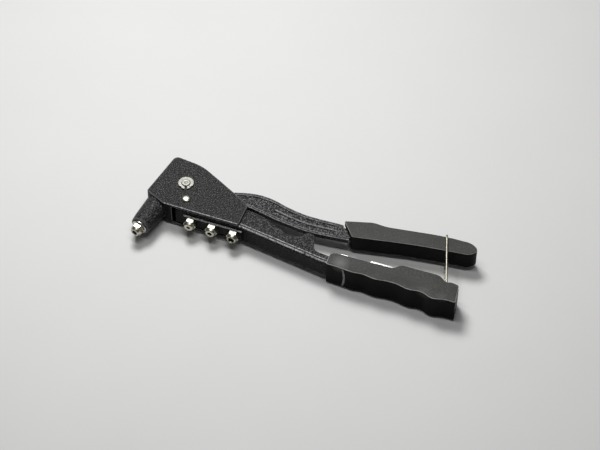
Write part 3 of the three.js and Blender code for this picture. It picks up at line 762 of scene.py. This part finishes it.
def lower_handle():
    """The fixed handle: a sheet folded along its web and swept along the fold line."""
    section = channel_section()
    path = rounded(CHANNEL_FOLD, 10)
    bm = bmesh.new()
    rings = []
    for i, point in enumerate(path):
        ahead = (path[min(i + 1, len(path) - 1)] - path[max(i - 1, 0)]).normalized()
        up = Vector((-ahead.y, ahead.x))
        rings.append([bm.verts.new((point.x + up.x * h, point.y + up.y * h, z)) for h, z in section])
    for one, two in zip(rings, rings[1:]):
        for k in range(len(section)):
            bm.faces.new((one[k - 1], one[k], two[k], two[k - 1]))
    bm.faces.new(rings[0])
    bm.faces.new(rings[-1])
    channel = made(bm, "channel")
    combine(channel, [prism(rounded(CHANNEL), -12, 12)], "INTERSECT")
    join(channel, block(109.6, 111.4, -31.6, -11.7, -CHANNEL_HALF + 0.3, CHANNEL_HALF - 0.3))
    holes = [bore(SPARE_BORE_R, -35, -15, Matrix.Translation((x, 0, 0))) for x, _ in SPARES]
    cut(channel, bore(RIVET_BORE_R, -BIG, BIG, across(*RIVET_AT)), *holes)
    settle(machined(channel, 0.25, 2))
    stands_for(channel, "lower_handle", "charcoal_sheet")
    channel.data.materials.append(FINISHES["bare_steel"])
    channel.data.materials.append(FINISHES["painted_edge_highlight"])
    for polygon in channel.data.polygons:
        place = (polygon.center - PIVOT) / MM
        if 135 < place.x < 180 and place.y > -25.5:
            polygon.material_index = 1
        # Painted highlight: polygons on the rounded fold take the lighter paint
        elif polygon.normal.y < -0.12 and 0.75 < abs(polygon.normal.z) < 0.985 and abs(place.z) > 7:
            polygon.material_index = 2


# ---- grips ----

def upper_grip():
    """The moving lever's grip."""
    body = prism(rounded(UPPER_GRIP), -UPPER_GRIP_HALF, UPPER_GRIP_HALF)
    round_edges(body, 1.1)
    cut(body, prism(rounded(UPPER_SLOT), -2.45, 2.45))
    stands_for(cast(body, 0.42, 2), "upper_grip")


def round_edges(obj, width, segments=4):
    """Rounds the long edges around a prism's two flat faces."""
    step = obj.modifiers.new("round", "BEVEL")
    step.width = width * MM
    step.segments = segments
    step.limit_method = "ANGLE"
    step.angle_limit = math.radians(60)
    return settle(obj)


def lower_grip():
    """The fixed handle's grip, with finger waves and a moulded seam across its front end."""
    body = prism(rounded(FINGER_EDGE + GRIP_BACK), -LOWER_GRIP_HALF, LOWER_GRIP_HALF)
    round_edges(body, 2)
    slots = [block(218.5, 240, -29.4, 0, *sorted((side * 8.25, side * 10.65))) for side in (-1, 1)]
    cut(body, prism(rounded(GRIP_HOLLOW), -9.05, 9.05), *slots)
    cast(body, 0.45, 3)
    sculpt(body, grip_crown)
    seam = []
    for k in range(25):
        turn = math.pi * k / 24
        bow = math.sin(turn)
        seam.append(Vector((142.2 + 2.6 * bow, -37.15 + 1.2 * (1 - bow), -10.6 * math.cos(turn))))
    join(body, tube(seam, 0.55, "seam", 10))
    stands_for(body, "lower_grip")
    # Painted highlight: the seam ridge takes the light grey plastic
    body.data.materials.append(FINISHES["seam_highlight_plastic"])
    for polygon in body.data.polygons:
        place = (polygon.center - PIVOT) / MM
        if 141 < place.x < 147 and place.y < -36 and min((place - point).length for point in seam) < 0.95:
            polygon.material_index = 1


def sculpt(obj, move):
    """Shifts every vertex by what move gives for its place in millimetres around the pivot."""
    for vertex in obj.data.vertices:
        vertex.co += move((vertex.co - PIVOT) / MM) * MM


def swell(x, centre, width):
    """One at the centre, falling smoothly to nothing at the width."""
    t = min(abs(x - centre) / width, 1)
    return (1 - t * t) ** 2


def grip_crown(p):
    """Dishes the moulded sides a little, leaving a swell at the front end and a rim along the fingers."""
    middle = -30 + 1.2 * math.sin((p.x - 140) / 26)
    flat = max(abs(p.z) - 9.2, 0) / (LOWER_GRIP_HALF - 9.2)
    dish = swell(p.y, middle, 7.5) * (1 - 0.9 * swell(p.x, 141, 13)) * swell(p.x, 182, 58)
    return Vector((0, 0, -math.copysign(0.6 * flat * dish, p.z)))


def grip_point(place):
    """A point of the frame as millimetres from the pivot."""
    offset = (place - PIVOT) / MM
    return offset.x, offset.y


# ---- bail ----

def wire_bail():
    """The wire loop that holds the grips together, and the pin it turns on."""
    place = Matrix.Translation((*grip_point(BAIL_PIVOT), 0)) @ Matrix.Rotation(BAIL_LEAN, 4, "Z")
    half = []
    for k in range(40):
        turn = math.radians(90 - 345 + k * 345 / 39)
        half.append(Vector((BAIL_EYE_R * math.cos(turn), BAIL_EYE_R * math.sin(turn), BAIL_HALF)))
    half.append(Vector((0.15, BAIL_EYE_R + 3, BAIL_HALF)))
    half += [Vector((0, y, BAIL_HALF)) for y in range(8, int(BAIL_LONG - BAIL_BEND_R), 3)]
    for k in range(9):
        turn = math.radians(k * 90 / 8)
        corner = Vector((0, BAIL_LONG - BAIL_BEND_R, BAIL_HALF - BAIL_BEND_R))
        half.append(corner + BAIL_BEND_R * Vector((0, math.sin(turn), math.cos(turn))))
    other = [Vector((p.x, p.y, -p.z)) for p in half[::-1]]
    stands_for(tube(half + other, BAIL_WIRE_R, "bail", 20, place), "wire_bail")
    pin = [(0, -10.95), (1.2, -10.95), (1.5, -10.65), (1.5, 10.65), (1.2, 10.95), (0, 10.95)]
    stands_for(machined(turned(pin, across(*grip_point(BAIL_PIVOT))), 0.05), "bail_pin")


# ---- stage ----

def floor():
    """A plain pale floor."""
    bm = bmesh.new()
    bmesh.ops.create_grid(bm, x_segments=1, y_segments=1, size=4)
    mesh = bpy.data.meshes.new("floor")
    bm.to_mesh(mesh)
    bm.free()
    obj = bpy.data.objects.new("floor", mesh)
    bpy.context.scene.collection.objects.link(obj)
    m = Nodes("pale_floor")
    m.out("Base Color", m.mix(m.noise(0.01), (0.78, 0.78, 0.77), (0.82, 0.82, 0.81)))
    m.out("Roughness", 0.7)
    mesh.materials.append(m.material)


def area_light(name, place, target, size, power):
    """A rectangular soft light at a place, aimed at the target."""
    light = bpy.data.lights.new(name, "AREA")
    light.shape = "RECTANGLE"
    light.size = size[0]
    light.size_y = size[1]
    light.energy = power
    obj = bpy.data.objects.new(name, light)
    obj.location = place
    obj.rotation_euler = (Vector(target) - Vector(place)).to_track_quat("-Z", "Y").to_euler()
    bpy.context.scene.collection.objects.link(obj)


def studio():
    """Soft studio light from above and behind, with a little fill from all round."""
    world = bpy.data.worlds.new("studio")
    world.use_nodes = True
    world.node_tree.nodes["Background"].inputs["Color"].default_value = (0.95, 0.97, 1, 1)
    world.node_tree.nodes["Background"].inputs["Strength"].default_value = 0.05
    bpy.context.scene.world = world
    middle = (0, 0, 0.01)
    area_light("key", (-0.3, 0.35, 0.85), middle, (0.35, 0.3), 6.5)
    area_light("overhead_strip", (0, -0.06, 0.8), middle, (0.5, 0.12), 1.6)
    area_light("back_panel", (-0.27, 0.75, 0.95), middle, (0.9, 0.6), 0.6)
    bpy.context.scene.view_settings.view_transform = "Standard"


def camera():
    """Looks down on the tool as it lies, from the nose's side."""
    azimuth = math.radians(VIEW_AZIMUTH)
    elevation = math.radians(VIEW_ELEVATION)
    back = Vector((
        math.sin(azimuth) * math.cos(elevation),
        -math.cos(azimuth) * math.cos(elevation),
        math.sin(elevation),
    ))
    lens = bpy.data.cameras.new("camera")
    lens.lens = VIEW_LENS
    lens.sensor_width = 36
    obj = bpy.data.objects.new("camera", lens)
    obj.location = VIEW_TARGET + back * VIEW_DISTANCE
    obj.rotation_euler = (-back).to_track_quat("-Z", "Y").to_euler()
    bpy.context.scene.collection.objects.link(obj)
    bpy.context.scene.camera = obj


camera()
head_housing()
pivot_pin()
e_clip()
handle_rivet()
barrel_train()
jaws()
spare_nosepieces()
lever_arm()
lever_bush()
lower_handle()
upper_grip()
lower_grip()
wire_bail()
floor()
studio()
